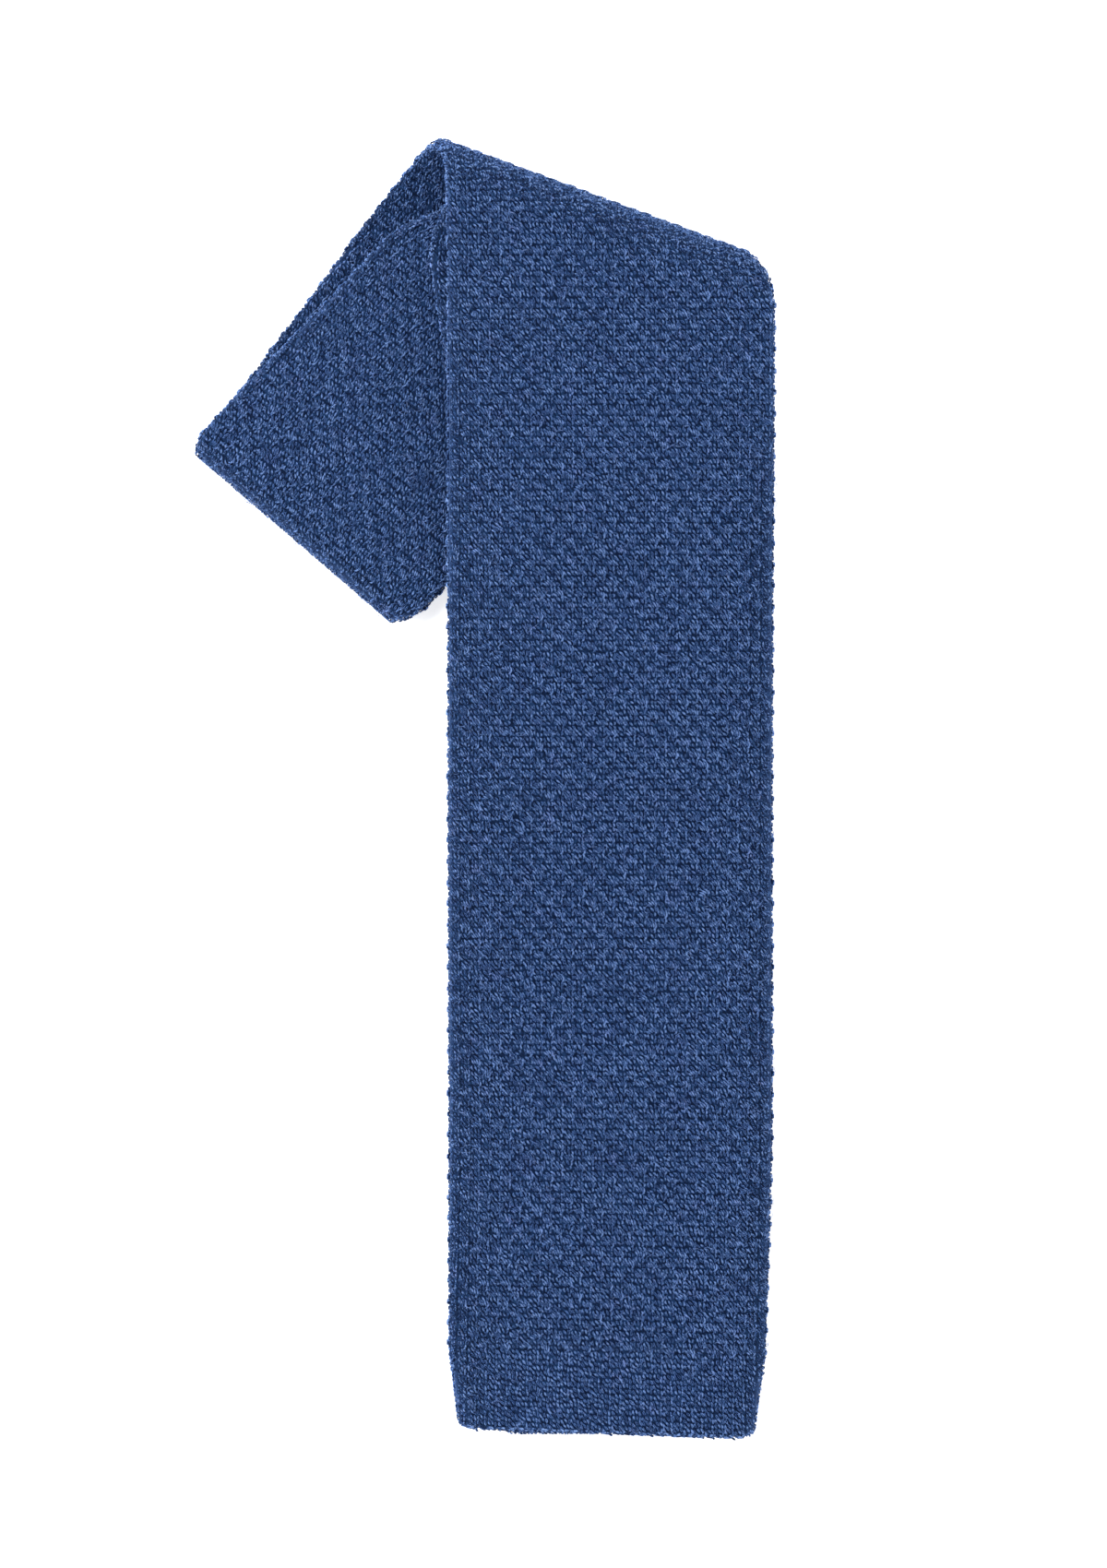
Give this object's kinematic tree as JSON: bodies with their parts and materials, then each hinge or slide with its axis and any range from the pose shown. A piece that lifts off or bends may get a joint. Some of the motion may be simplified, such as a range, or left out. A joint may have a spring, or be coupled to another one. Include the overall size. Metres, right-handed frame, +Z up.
{
  "type": "knitted necktie, folded",
  "caption": "Square-ended knitted necktie in one hollow tube of wool, folded in four and turned over at a slant, lying flat as it is laid out in a shop or a drawer.",
  "frame": {"origin": "on the surface that the tie lies on, under the middle of the folded tie's box", "axes": "+Z up, +Y along the blade from its square tip towards the slanted fold, +X to the right, away from the flap"},
  "size_m": [0.1156, 0.2612, 0.0196],
  "materials": {
    "tuck_knit": "soft melange blue wool in a tuck stitch, with a fine fuzz",
    "hem_knit": "the same blue wool in plain knit with fine upright ribs"
  },
  "bodies": {
    "root": {"blade_hem": "hem_knit", "blade": "tuck_knit", "neckband": "tuck_knit", "tail": "tuck_knit", "tail_hem": "hem_knit"}
  },
  "joints": []
}
